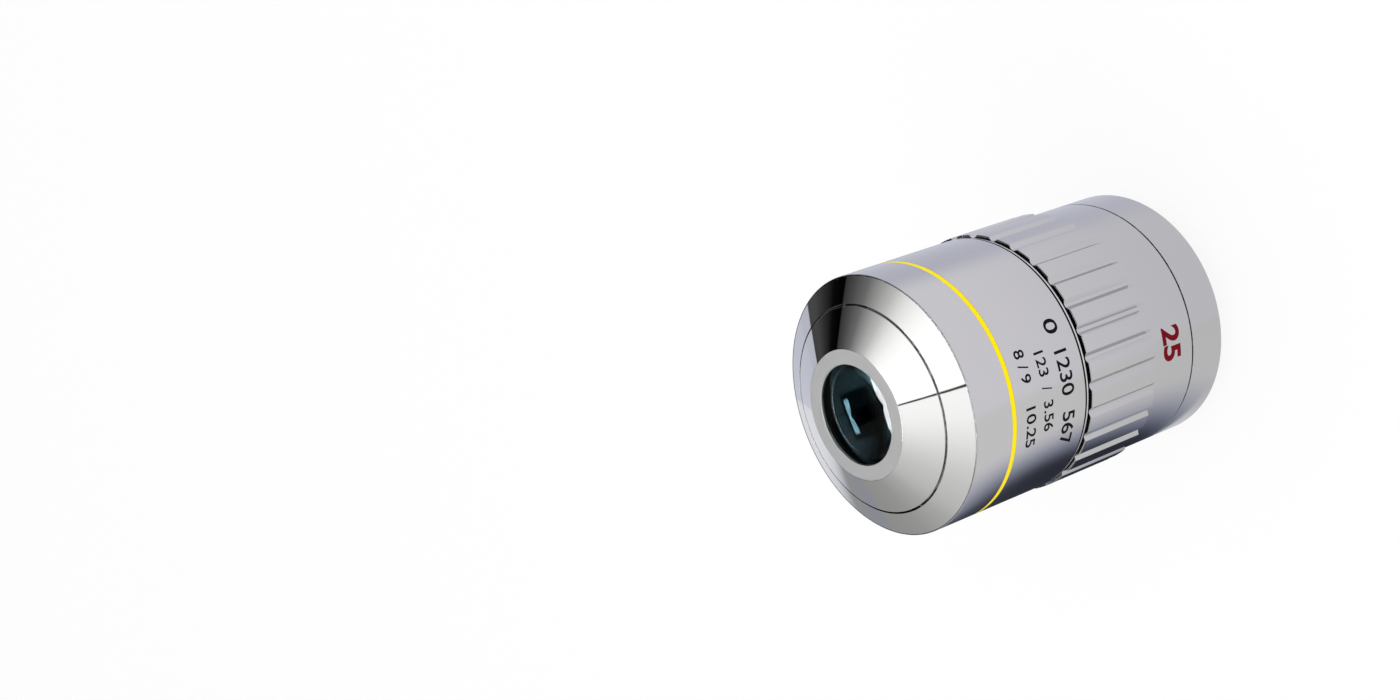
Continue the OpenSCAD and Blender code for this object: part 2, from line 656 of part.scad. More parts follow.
nose_cap();
nose_cone();
front_barrel();
colour_band();
lock_ring();
grip_sleeve();
rear_cover();
mount_body();
parfocal_shim();
lens_tube();
tube_ring();
stack_ring();
centring_screws();
front_cell();
front_lens();
front_lens_ring();
meniscus_cell();
meniscus_lens();
meniscus_ring();
triplet_spacer();
triplet_cell();
triplet_back();
triplet_core();
triplet_front();
triplet_ring();
adjusting_spacer();
aperture_stop();
front_doublet_cell();
front_doublet_flint();
front_doublet_crown();
front_doublet_ring();
doublet_spacer();
rear_doublet_cell();
rear_doublet_flint();
rear_doublet_crown();
rear_doublet_ring();
rear_spacer();
rear_cell();
rear_lens();
rear_lens_ring();
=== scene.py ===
"""Dresses a microscope objective: turned sleeves, polished nose, mounting thread, figures and studio."""

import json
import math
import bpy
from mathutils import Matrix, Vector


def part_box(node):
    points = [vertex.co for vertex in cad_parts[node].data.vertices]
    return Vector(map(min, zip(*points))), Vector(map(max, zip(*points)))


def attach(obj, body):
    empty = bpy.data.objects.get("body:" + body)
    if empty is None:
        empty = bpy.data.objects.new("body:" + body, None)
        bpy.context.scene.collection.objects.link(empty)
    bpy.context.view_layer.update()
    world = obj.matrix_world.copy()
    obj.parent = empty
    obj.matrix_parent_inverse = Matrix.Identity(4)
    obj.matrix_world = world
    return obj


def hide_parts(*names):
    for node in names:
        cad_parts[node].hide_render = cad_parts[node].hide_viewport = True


bl_info = {
    "name": "Microscope Objective",
    "version": (1, 0, 0),
    "blender": (4, 5, 0),
    "location": "3D View > Sidebar > Objective",
    "description": "Turned sleeves, polished nose, mounting thread, figures and a studio for an objective",
    "category": "Object",
}

import bpy
from mathutils import Matrix, Vector

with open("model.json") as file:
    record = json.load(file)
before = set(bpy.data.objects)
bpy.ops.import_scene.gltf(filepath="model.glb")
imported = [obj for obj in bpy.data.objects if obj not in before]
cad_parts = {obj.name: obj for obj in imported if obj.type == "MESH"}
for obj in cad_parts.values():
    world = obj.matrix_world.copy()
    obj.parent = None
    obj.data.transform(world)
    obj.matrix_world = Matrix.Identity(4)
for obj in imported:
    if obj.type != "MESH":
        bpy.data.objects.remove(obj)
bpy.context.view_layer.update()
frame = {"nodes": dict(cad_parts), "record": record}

MM = 0.001
TURN_STEPS = 256
EDGE_STEPS = 2
SAME_POINT = 2e-7
SAME_CORNER = 10 * SAME_POINT
BUMP_DEPTH = 0.01 * MM

# Bore radius in millimetres of the barrel, the grip, the lock ring and the rear cover on their carrying sleeve
SLEEVE_BORE = 23.25


def low(node):
    """Height of a node's foot above the floor, in millimetres."""
    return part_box(node)[0].z / MM


def high(node):
    """Height of a node's top above the floor, in millimetres."""
    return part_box(node)[1].z / MM


def reach(node):
    """Outer radius of a turned node, in millimetres."""
    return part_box(node)[1].x / MM


class NoseSizes(bpy.types.PropertyGroup):
    """Sizes of the nose"""
    cone_step: bpy.props.FloatProperty(
        name="Cone step", description="Step from the barrel in to the foot of the outer cone",
        default=0.25 * MM, unit="LENGTH")
    seam_chamfer: bpy.props.FloatProperty(
        name="Seam chamfer", description="Chamfer on each side of the seam between the cones",
        default=0.15 * MM, unit="LENGTH")
    face_radius: bpy.props.FloatProperty(
        name="Face radius", description="Outer radius of the flat nose face", default=13 * MM, unit="LENGTH")
    aperture_radius: bpy.props.FloatProperty(
        name="Aperture radius", description="Radius of the clear opening", default=9.9 * MM, unit="LENGTH")
    edge: bpy.props.FloatProperty(
        name="Edge", description="Width of the broken edges on the polished pieces", default=0.03 * MM,
        unit="LENGTH")


class SleeveSizes(bpy.types.PropertyGroup):
    """Sizes of the sleeves and rings"""
    edge: bpy.props.FloatProperty(
        name="Edge", description="Width of the broken edges on the sleeves", default=0.04 * MM, unit="LENGTH")
    seam_width: bpy.props.FloatProperty(
        name="Seam width", description="Width of the groove before the rear cover", default=0.4 * MM,
        unit="LENGTH")


class GripSizes(bpy.types.PropertyGroup):
    """Sizes of the grip"""
    band_length: bpy.props.FloatProperty(
        name="Band length", description="Length of the plain band behind the ribs", default=11.5 * MM,
        unit="LENGTH")
    chamfer: bpy.props.FloatProperty(
        name="Chamfer", description="Chamfer on the ends of the ribs", default=0.1 * MM, unit="LENGTH")
    edge: bpy.props.FloatProperty(
        name="Edge", description="Width of the broken edges on the ribs", default=0.02 * MM, unit="LENGTH")
    rib_count: bpy.props.IntProperty(name="Ribs", description="Number of ribs round the grip", default=30)
    flute_width: bpy.props.FloatProperty(
        name="Flute width", description="Width of the flute between two ribs", default=2.2 * MM,
        unit="LENGTH")
    flute_depth: bpy.props.FloatProperty(
        name="Flute depth", description="Depth of the flute", default=0.7 * MM, unit="LENGTH")
    flute_floor: bpy.props.FloatProperty(
        name="Flute floor", description="Width of the floor between the flute's sloping walls",
        default=0.65 * MM, unit="LENGTH")
    flute_turn: bpy.props.FloatProperty(
        name="Flute turn", description="Angle from the X axis to the first flute", default=math.radians(8.5),
        subtype="ANGLE")


class ThreadSizes(bpy.types.PropertyGroup):
    """Sizes of the mounting thread"""
    radius: bpy.props.FloatProperty(
        name="Radius", description="Outer radius of the mounting thread", default=13 * MM, unit="LENGTH")
    length: bpy.props.FloatProperty(
        name="Length", description="Length of the thread up to the shoulder", default=5 * MM, unit="LENGTH")
    pitch: bpy.props.FloatProperty(
        name="Pitch", description="Pitch of the mounting thread", default=0.706 * MM, unit="LENGTH")
    depth: bpy.props.FloatProperty(
        name="Depth", description="Depth of the mounting thread", default=0.38 * MM, unit="LENGTH")


class FinishColours(bpy.types.PropertyGroup):
    """Colours of the finishes"""
    chrome: bpy.props.FloatVectorProperty(
        name="Polished chrome", description="Colour of the mirror polished cones", default=(0.64, 0.64, 0.64),
        subtype="COLOR", min=0, max=1)
    face: bpy.props.FloatVectorProperty(
        name="Face chrome", description="Colour of the satin nose face", default=(0.52, 0.52, 0.525),
        subtype="COLOR", min=0, max=1)
    satin: bpy.props.FloatVectorProperty(
        name="Satin chrome", description="Colour of the satin sleeves", default=(0.56, 0.552, 0.567),
        subtype="COLOR", min=0, max=1)
    enamel: bpy.props.FloatVectorProperty(
        name="Yellow enamel", description="Colour of the ring in the barrel's groove",
        default=(0.95, 0.76, 0.0), subtype="COLOR", min=0, max=1)
    ink: bpy.props.FloatVectorProperty(
        name="Black ink", description="Colour in the figures", default=(0.004, 0.004, 0.005),
        subtype="COLOR", min=0, max=1)
    red: bpy.props.FloatVectorProperty(
        name="Red ink", description="Colour of the figure on the grip", default=(0.16, 0.0, 0.006),
        subtype="COLOR", min=0, max=1)
    brass: bpy.props.FloatVectorProperty(
        name="Blackened brass", description="Colour of the lens cells", default=(0.07, 0.055, 0.035),
        subtype="COLOR", min=0, max=1)
    black: bpy.props.FloatVectorProperty(
        name="Black anodising", description="Colour of the tube, rings and spacers",
        default=(0.018, 0.018, 0.02), subtype="COLOR", min=0, max=1)
    steel: bpy.props.FloatVectorProperty(
        name="Shim steel", description="Colour of the shim behind the shoulder", default=(0.5, 0.49, 0.47),
        subtype="COLOR", min=0, max=1)


class StudioSettings(bpy.types.PropertyGroup):
    """Floor and camera"""
    floor_colour: bpy.props.FloatVectorProperty(
        name="Floor colour", description="Colour of the pale floor", default=(0.95, 0.95, 0.95),
        subtype="COLOR", min=0, max=1)
    lens: bpy.props.FloatProperty(
        name="Camera lens", description="Focal length of the camera on a 36 mm sensor, in millimetres",
        default=55.03)


GROUPS = (NoseSizes, SleeveSizes, GripSizes, ThreadSizes, FinishColours, StudioSettings)


def settings(group):
    """The settings of one group, kept on the scene under its class name."""
    return getattr(bpy.context.scene, group.__name__.lower())


def deselect():
    """Leaves edit mode, with nothing selected."""
    if bpy.context.object and bpy.context.object.mode != "OBJECT":
        bpy.ops.object.mode_set(mode="OBJECT")
    bpy.ops.object.select_all(action="DESELECT")


def take(piece):
    """Makes one piece the only selected and the active one."""
    deselect()
    piece.select_set(True)
    bpy.context.view_layer.objects.active = piece
    return piece


def modifier(piece, kind, **values):
    """Adds a modifier, sets it and applies it."""
    take(piece)
    bpy.ops.object.modifier_add(type=kind)
    added = piece.modifiers[-1]
    for name, value in values.items():
        setattr(added, name, value)
    bpy.ops.object.modifier_apply(modifier=added.name)
    return piece


def outline_from(name, points):
    """A wire that runs through points (x, y, z) in millimetres, left in edit mode and selected all over."""
    deselect()
    first = Vector(points[0]) * MM
    bpy.ops.mesh.primitive_plane_add(size=MM, location=first)
    bpy.ops.object.transform_apply(location=True, rotation=False, scale=False)
    piece = bpy.context.object
    piece.name = piece.data.name = name
    bpy.ops.object.mode_set(mode="EDIT")
    bpy.ops.mesh.select_all(action="SELECT")
    bpy.ops.mesh.merge(type="CENTER")
    here = first
    for point in points[1:]:
        there = Vector(point) * MM
        bpy.ops.mesh.extrude_region_move(TRANSFORM_OT_translate={"value": there - here})
        here = there
    bpy.ops.mesh.select_all(action="SELECT")
    return piece


def seal(piece, threshold=SAME_POINT):
    """Merges doubles and turns every face outwards."""
    take(piece)
    bpy.ops.object.mode_set(mode="EDIT")
    bpy.ops.mesh.select_all(action="SELECT")
    bpy.ops.mesh.remove_doubles(threshold=threshold)
    bpy.ops.mesh.normals_make_consistent(inside=False)
    bpy.ops.object.mode_set(mode="OBJECT")
    return piece


def soften(piece, edge, angle=12):
    """Breaks edges sharper than the angle and shades the piece smooth, with its flat faces kept flat."""
    if edge:
        modifier(piece, "BEVEL", width=edge, segments=EDGE_STEPS, limit_method="ANGLE",
                 angle_limit=math.radians(angle), use_clamp_overlap=True)
    take(piece)
    bpy.ops.object.shade_smooth()
    modifier(piece, "WEIGHTED_NORMAL", weight=100, keep_sharp=False)
    return piece


def turned(name, outline, edge):
    """A piece turned round the Z axis from a closed outline of (radius, height) in millimetres."""
    piece = outline_from(name, [(r, 0, z) for r, z in list(outline) + [outline[0]]])
    bpy.ops.mesh.remove_doubles(threshold=SAME_POINT)
    bpy.ops.mesh.select_all(action="SELECT")
    bpy.ops.mesh.spin(steps=TURN_STEPS, angle=2 * math.pi, center=(0, 0, 0), axis=(0, 0, 1),
                      use_auto_merge=True)
    bpy.ops.object.mode_set(mode="OBJECT")
    seal(piece)
    return soften(piece, edge)


def fit(piece, material, slot, *nodes):
    """Gives a finished piece its material and body, and lets it stand for its nodes. The slot is not used."""
    piece.data.materials.clear()
    piece.data.materials.append(material)
    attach(piece, "root")
    if nodes:
        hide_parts(*nodes)
    return piece


class Tree:
    """A material's or a group's nodes. Each call of arithmetic adds a node and returns its output."""

    def __init__(self, tree):
        self.tree = tree

    def node(self, kind, **values):
        """A new node with the given values on the inputs of these names."""
        made = self.tree.nodes.new(kind)
        for name, value in values.items():
            self.feed(value, made.inputs[name])
        return made

    def feed(self, value, socket):
        """Links an output to a socket, or writes a number or a colour on it."""
        if isinstance(value, bpy.types.NodeSocket):
            self.tree.links.new(value, socket)
        else:
            socket.default_value = (*value, 1) if isinstance(value, tuple) else value

    def maths(self, operation, *values):
        """A node of arithmetic on numbers or outputs."""
        made = self.tree.nodes.new("ShaderNodeMath")
        made.operation = operation
        for socket, value in zip(made.inputs, values):
            self.feed(value, socket)
        return made.outputs[0]

    def plus(self, one, two):
        return self.maths("ADD", one, two)

    def times(self, one, *others):
        """The product of all the values."""
        for other in others:
            one = self.maths("MULTIPLY", one, other)
        return one

    def larger(self, one, two):
        return self.maths("MAXIMUM", one, two)

    def above(self, value, limit):
        """One where the value is above the limit, and zero elsewhere."""
        return self.maths("GREATER_THAN", value, limit)

    def distance(self, one, two):
        """Length of the vector (one, two)."""
        return self.maths("SQRT", self.plus(self.maths("POWER", one, 2.0), self.maths("POWER", two, 2.0)))

    def along(self, x, y, direction):
        """How far the point (x, y) lies along a direction."""
        return self.plus(self.times(x, direction[0]), self.times(y, direction[1]))

    def ease(self, value, start, end, low_value=0.0, high_value=1.0):
        """A value eased from one level to another between two places."""
        made = self.node("ShaderNodeMapRange")
        made.interpolation_type = "SMOOTHSTEP"
        for name, number in (("From Min", start), ("From Max", end), ("To Min", low_value),
                             ("To Max", high_value), ("Value", value)):
            self.feed(number, made.inputs[name])
        return made.outputs["Result"]

    def blend(self, factor, one, two):
        """One where the factor is 0 and two where it is 1, for values or for colours."""
        made = self.node("ShaderNodeMix")
        colour = isinstance(one, tuple) or getattr(one, "type", "") == "RGBA"
        made.data_type, kind = ("RGBA", "RGBA") if colour else ("FLOAT", "VALUE")
        ends = [socket for socket in made.inputs
                if socket.enabled and socket.name in "AB" and socket.type == kind]
        self.feed(factor, made.inputs["Factor"])
        for socket, value in zip(ends, (one, two)):
            self.feed(value, socket)
        return next(socket for socket in made.outputs if socket.enabled and socket.type == kind)

    def read_off(self, value, stops):
        """The level at a place from 0 to 1, read off stops of (place, level)."""
        made = self.node("ShaderNodeFloatCurve", Value=value)
        top = max(level for _, level in stops)
        points = made.mapping.curves[0].points
        while len(points) < len(stops):
            points.new(0.5, 0.5)
        for point, (spot, level) in zip(points, stops):
            point.location = (spot, level / top)
            point.handle_type = "VECTOR"
        made.mapping.update()
        return self.times(made.outputs["Value"], top)

    def place(self):
        """Object coordinates of the point."""
        return self.node("ShaderNodeTexCoord").outputs["Object"]

    def split(self, vector):
        """The three parts of a vector."""
        made = self.node("ShaderNodeSeparateXYZ")
        self.feed(vector, made.inputs[0])
        return made.outputs


def turning_marks():
    """Fine rings left by the lathe, as a height, with a slow change of gloss over the metal."""
    known = bpy.data.node_groups.get("turning_marks")
    if known:
        return known
    group = bpy.data.node_groups.new("turning_marks", "ShaderNodeTree")
    for name, way in (("Rings per metre", "INPUT"), ("Roughness", "INPUT"), ("Spread", "INPUT"),
                      ("Height", "OUTPUT"), ("Roughness", "OUTPUT")):
        group.interface.new_socket(name=name, in_out=way, socket_type="NodeSocketFloat")
    tree = Tree(group)
    start, end = tree.node("NodeGroupInput"), tree.node("NodeGroupOutput")
    place = tree.place()
    x, y, z = tree.split(place)
    travel = tree.plus(z, tree.distance(x, y))
    rings = tree.node("ShaderNodeTexNoise", Detail=4.0, Scale=1.0)
    rings.noise_dimensions = "1D"
    tree.feed(tree.times(travel, start.outputs["Rings per metre"]), rings.inputs["W"])
    tree.feed(rings.outputs["Fac"], end.inputs["Height"])
    patches = tree.node("ShaderNodeTexNoise", Vector=place, Scale=120.0, Detail=5.0)
    shift = tree.times(tree.maths("SUBTRACT", patches.outputs["Fac"], 0.5), start.outputs["Spread"])
    tree.feed(tree.plus(start.outputs["Roughness"], shift), end.inputs["Roughness"])
    return group


def new_material(name):
    material = bpy.data.materials.new(name)
    material.use_nodes = True
    return material, Tree(material.node_tree), material.node_tree.nodes["Principled BSDF"]


def add_bump(tree, shader, height, strength):
    """Shades the surface by a height, without changing its shape."""
    bump = tree.node("ShaderNodeBump", Strength=strength, Distance=BUMP_DEPTH, Height=height)
    tree.feed(bump.outputs[0], shader.inputs["Normal"])


def metal(name, colour, roughness, spread, rings, height):
    """Turned metal with so many lathe rings to the metre in its bump."""
    material, tree, shader = new_material(name)
    shader.inputs["Base Color"].default_value = (*colour, 1)
    shader.inputs["Metallic"].default_value = 1.0
    marks = tree.node("ShaderNodeGroup")
    marks.node_tree = turning_marks()
    for socket, value in (("Rings per metre", rings), ("Roughness", roughness), ("Spread", spread)):
        marks.inputs[socket].default_value = value
    tree.feed(marks.outputs["Roughness"], shader.inputs["Roughness"])
    add_bump(tree, shader, marks.outputs["Height"], height)
    return material


def coating(name, colour, roughness, metallic=0.0, gloss=0.5):
    """Paint, ink or a blackened surface with a fine uneven gloss."""
    uneven = 0.12
    material, tree, shader = new_material(name)
    shader.inputs["Base Color"].default_value = (*colour, 1)
    shader.inputs["Metallic"].default_value = metallic
    shader.inputs["Specular IOR Level"].default_value = gloss
    grain = tree.node("ShaderNodeTexNoise", Vector=tree.place(), Scale=2500.0, Detail=3.0).outputs["Fac"]
    tree.feed(tree.plus(tree.times(grain, uneven), roughness - uneven / 2), shader.inputs["Roughness"])
    add_bump(tree, shader, grain, strength=0.15)
    return material


def glass(name, tint, ior, coat):
    """Optical glass under an anti-reflection coat that leaves a weak tinted reflection."""
    material, _, shader = new_material(name)
    shader.inputs["Base Color"].default_value = (*tint, 1)
    shader.inputs["Roughness"].default_value = 0.0
    shader.inputs["Transmission Weight"].default_value = 1.0
    shader.inputs["IOR"].default_value = ior
    shader.inputs["Specular Tint"].default_value = (*coat, 1)
    return material


FINISHES = {}


def finish(name):
    """One of the object's finishes, made once."""
    if name in FINISHES:
        return FINISHES[name]
    colours = settings(FinishColours)
    maker, colour, values = {
        "polished_chrome": (metal, colours.chrome,
                            {"roughness": 0.035, "spread": 0.01, "rings": 16000.0, "height": 0.02}),
        "face_chrome": (metal, colours.face,
                        {"roughness": 0.6, "spread": 0.06, "rings": 9000.0, "height": 0.08}),
        "satin_chrome": (metal, colours.satin,
                         {"roughness": 0.17, "spread": 0.04, "rings": 9000.0, "height": 0.05}),
        "mount_chrome": (metal, colours.satin,
                         {"roughness": 0.25, "spread": 0.06, "rings": 6000.0, "height": 0.1}),
        "shim_steel": (metal, colours.steel,
                       {"roughness": 0.3, "spread": 0.05, "rings": 8000.0, "height": 0.08}),
        "yellow_enamel": (coating, colours.enamel, {"roughness": 0.35, "gloss": 0.08}),
        "black_ink": (coating, colours.ink, {"roughness": 0.5, "gloss": 0.05}),
        "red_ink": (coating, colours.red, {"roughness": 0.5, "gloss": 0.05}),
        "blackened_brass": (coating, colours.brass, {"roughness": 0.4, "metallic": 1.0}),
        "black_anodised": (coating, colours.black, {"roughness": 0.5}),
        "crown_glass": (glass, (0.85, 0.95, 0.94), {"ior": 1.52, "coat": (0.02, 0.3, 0.4)}),
        "flint_glass": (glass, (0.9, 0.95, 0.9), {"ior": 1.62, "coat": (0.02, 0.22, 0.26)}),
        "front_glass": (glass, (0.25, 0.5, 0.6), {"ior": 1.6, "coat": (0.72, 0.74, 0.76)}),
    }[name]
    FINISHES[name] = maker(name, colour, **values)
    return FINISHES[name]


class OBJECTIVE_OT_nose(bpy.types.Operator):
    """Turns the polished nose cap, the cone ring behind its seam and the satin face"""
    bl_idname = "objective.nose"
    bl_label = "Turn the nose"

    def execute(self, context):
        sizes = settings(NoseSizes)
        chamfer = sizes.seam_chamfer / MM
        top, foot_z = high("nose_cap"), high("front_barrel")
        foot_r = reach("front_barrel") - sizes.cone_step / MM
        face, aperture = sizes.face_radius / MM, sizes.aperture_radius / MM
        seam_r = reach("nose_cap") + chamfer
        slope = (top - foot_z) / (foot_r - face)
        seam_z = foot_z + (foot_r - seam_r) * slope

        # The cap, with a lip round the aperture, a bore behind it and a skirt that screws into the cone ring
        lip, lip_depth, bore = 0.15, 0.6, 12.9
        shoulder, skirt_wall, skirt_z = 1.8, 1.2, low("nose_cap")
        skirt_r = seam_r - shoulder
        well_r = skirt_r - skirt_wall
        cap = turned("nose_cap_polished", [
            (aperture + lip, top), (face, top), (seam_r - chamfer, seam_z + chamfer * slope),
            (seam_r - chamfer, seam_z), (skirt_r, seam_z), (skirt_r, skirt_z), (well_r, skirt_z),
            (well_r, seam_z), (bore, seam_z), (bore, top - lip_depth), (aperture, top - lip_depth),
            (aperture, top - lip)], sizes.edge)
        fit(cap, finish("polished_chrome"), "polished_chrome", "nose_cap")

        # The cone ring, with the seam's groove at its top and a spigot in the barrel's mouth at its foot
        seat_r, groove_r, groove_z = skirt_r + 0.05, seam_r - chamfer - 0.3, seam_z - 0.7
        brink_in, brink_out, brink_drop = 0.25, 0.28, 0.03
        spigot_r, spigot_bore, spigot_z = 24.45, 22.55, foot_z - 5
        ring = turned("nose_cone_polished", [
            (seat_r, seam_z), (groove_r, seam_z), (groove_r, groove_z), (seam_r + brink_in, groove_z),
            (seam_r + brink_in, seam_z - brink_in * slope - brink_drop),
            (seam_r + brink_out, seam_z - brink_out * slope), (foot_r, foot_z), (spigot_r, foot_z),
            (spigot_r, spigot_z), (spigot_bore, spigot_z), (spigot_bore, skirt_z), (seat_r, skirt_z)],
            sizes.edge)
        fit(ring, finish("polished_chrome"), "polished_chrome", "nose_cone")

        # The satin face, laid on the cap
        inner, outer, height = aperture + lip + 0.01, face - 0.03, 0.004
        face_ring = turned("nose_face_satin", [
            (inner, top), (outer, top), (outer, top + height), (inner, top + height)], 0)
        fit(face_ring, finish("face_chrome"), "polished_chrome")
        return {"FINISHED"}


class OBJECTIVE_OT_barrel(bpy.types.Operator):
    """Turns the front barrel with its groove, and the yellow ring in it"""
    bl_idname = "objective.barrel"
    bl_label = "Turn the front barrel"

    def execute(self, context):
        sizes = settings(SleeveSizes)
        r, z0, z1 = reach("front_barrel"), low("front_barrel"), high("front_barrel")
        y0, y1 = low("colour_band"), high("colour_band")
        rear_chamfer, front_chamfer, groove = 0.06, 0.1, 0.2
        mouth_r, mouth_z = 24.5, z0 + 11
        barrel = turned("front_barrel_satin", [
            (SLEEVE_BORE, z0), (r - rear_chamfer, z0), (r, z0 + rear_chamfer), (r, y0), (r - groove, y0),
            (r - groove, y1), (r, y1), (r, z1 - front_chamfer), (r - front_chamfer, z1), (mouth_r, z1),
            (mouth_r, mouth_z), (SLEEVE_BORE, mouth_z)], sizes.edge)
        fit(barrel, finish("satin_chrome"), "satin_sleeve", "front_barrel")
        foot, crown, gap = r - groove + 0.01, r - 0.015, 0.02
        band = turned("yellow_ring", [
            (foot, y0 + gap), (crown, y0 + gap), (crown, y1 - gap), (foot, y1 - gap)], sizes.edge)
        fit(band, finish("yellow_enamel"), "yellow_enamel", "colour_band")
        return {"FINISHED"}


class OBJECTIVE_OT_rings(bpy.types.Operator):
    """Turns the lock ring with its bright brim and a hub in painted shade, and the rear cover"""
    bl_idname = "objective.rings"
    bl_label = "Turn the lock ring and the rear cover"

    def execute(self, context):
        sizes = settings(SleeveSizes)
        r, z0, z1 = reach("lock_ring"), low("lock_ring"), high("lock_ring")
        hub, brim, edge = r - 0.9, r + 0.3, 0.02
        brim_foot, brim_top = z0 + 0.55, z0 + 0.92
        lock = turned("lock_ring_bright", [
            (SLEEVE_BORE, z0), (hub, z0), (hub, brim_foot), (brim, brim_foot), (brim, brim_top),
            (hub, brim_top), (hub, z1), (SLEEVE_BORE, z1)], edge * MM)
        fit(lock, finish("polished_chrome"), "polished_chrome", "lock_ring")
        # Faces inside the brim's edge take the black anodising as painted shade in the gap round the brim
        lock.data.materials.append(finish("black_anodised"))
        bright = brim - edge - 0.005
        for face in lock.data.polygons:
            if math.hypot(face.center.x, face.center.y) < bright * MM:
                face.material_index = 1

        r, z0, z1 = reach("rear_cover"), low("rear_cover"), high("rear_cover")
        seam, seam_r = z1 - sizes.seam_width / MM, r - 0.6
        bore, chamfer, web = 16.55, 0.4, 1.5
        cover = turned("rear_cover_satin", [
            (bore, z0), (r - chamfer, z0), (r, z0 + chamfer), (r, seam), (seam_r, seam), (seam_r, z1),
            (SLEEVE_BORE, z1), (SLEEVE_BORE, z0 + web), (bore, z0 + web)], sizes.edge)
        fit(cover, finish("satin_chrome"), "satin_sleeve", "rear_cover")
        return {"FINISHED"}


class OBJECTIVE_OT_grip(bpy.types.Operator):
    """Mills the flutes of the grip round its section, and draws the section out along the sleeve"""
    bl_idname = "objective.grip"
    bl_label = "Mill the fluted grip"

    def flute_section(self, sizes, crown):
        """Points (x, y) of one rib and flute, from the middle of a rib to the middle of the next."""
        half_pitch = math.pi / sizes.rib_count
        half_width, half_floor = sizes.flute_width / MM / 2, sizes.flute_floor / MM / 2
        depth, fillet, corner_lift, rib_steps = sizes.flute_depth / MM, 0.08, 0.02, 5
        rise = depth / (half_width - half_floor)
        heights = ((half_width, depth), (half_floor + fillet, fillet * rise), (half_floor, corner_lift),
                   (half_floor - fillet * 1.5, 0.0), (half_floor / 3, 0.0))
        section = [(-out, height) for out, height in heights]
        section += [(out, height) for out, height in reversed(heights)]
        points = [(math.sqrt((crown - depth + height) ** 2 - out * out), out) for out, height in section]
        edge = math.atan2(points[-1][1], points[-1][0])
        crowns = [half_pitch + (edge - half_pitch) * step / rib_steps for step in range(rib_steps)]
        before = [(crown * math.cos(a), -crown * math.sin(a)) for a in crowns]
        after = [(crown * math.cos(a), crown * math.sin(a)) for a in reversed(crowns)]
        cosine, sine = math.cos(sizes.flute_turn), math.sin(sizes.flute_turn)
        return [(x * cosine - y * sine, x * sine + y * cosine) for x, y in before + points + after]

    def set_radius(self, piece, radius=None, limit=None, beyond=0.0):
        """Puts the selected points that lie beyond a radius on a new one, or keeps them within a limit."""
        bpy.ops.object.mode_set(mode="OBJECT")
        for vertex in piece.data.vertices:
            out = math.hypot(vertex.co.x, vertex.co.y)
            if vertex.select and out > beyond * MM:
                wanted = radius * MM if radius else min(out, limit * MM) if limit else out
                vertex.co.x *= wanted / out
                vertex.co.y *= wanted / out
        bpy.ops.object.mode_set(mode="EDIT")

    def draw_out(self, piece, rise, **radii):
        """Extrudes the selected loop up by rise, and sets or limits its radius."""
        bpy.ops.mesh.extrude_region_move(TRANSFORM_OT_translate={"value": (0, 0, rise * MM)})
        self.set_radius(piece, **radii)

    def join_ends(self, piece, loop):
        """Bridges the first loop of so many points to the last."""
        bpy.ops.object.mode_set(mode="OBJECT")
        total = len(piece.data.vertices)
        ends = set(range(loop)), set(range(total - loop, total))
        for vertex in piece.data.vertices:
            vertex.select = any(vertex.index in end for end in ends)
        for edge in piece.data.edges:
            edge.select = any(end.issuperset(edge.vertices) for end in ends)
        for face in piece.data.polygons:
            face.select = False
        bpy.ops.object.mode_set(mode="EDIT")
        bpy.ops.mesh.select_mode(type="EDGE")
        bpy.ops.mesh.bridge_edge_loops()
        bpy.ops.mesh.select_mode(type="VERT")
        bpy.ops.object.mode_set(mode="OBJECT")

    def execute(self, context):
        sizes = settings(GripSizes)
        corner, z0, z1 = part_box("grip_sleeve")[1], low("grip_sleeve"), high("grip_sleeve")
        crown, band = max(corner.x, corner.y) / MM, reach("rear_cover")
        foot = z0 + sizes.band_length / MM
        chamfer, count, just_inside = sizes.chamfer / MM, sizes.rib_count, 0.99999
        piece = outline_from("grip_fluted", [(x, y, foot) for x, y in self.flute_section(sizes, crown)])
        bpy.ops.mesh.spin(steps=count - 1, dupli=True, angle=2 * math.pi * (count - 1) / count,
                          center=(0, 0, 0), axis=(0, 0, 1))
        bpy.ops.mesh.select_all(action="SELECT")
        bpy.ops.mesh.remove_doubles(threshold=SAME_CORNER)
        bpy.ops.mesh.select_all(action="SELECT")
        rear = crown - chamfer / 2
        self.set_radius(piece, limit=rear)
        loop = len(piece.data.vertices)
        self.draw_out(piece, chamfer / 2, radius=crown, beyond=rear * just_inside)
        self.draw_out(piece, z1 - chamfer - foot - chamfer / 2)
        self.draw_out(piece, chamfer, limit=crown - chamfer)
        self.draw_out(piece, 0, radius=SLEEVE_BORE)
        self.draw_out(piece, z0 - z1)
        self.draw_out(piece, 0, radius=band)
        self.draw_out(piece, foot - z0)
        self.join_ends(piece, loop)
        seal(piece)
        soften(piece, sizes.edge, angle=14)
        fit(piece, finish("satin_chrome"), "satin_sleeve", "grip_sleeve")
        return {"FINISHED"}


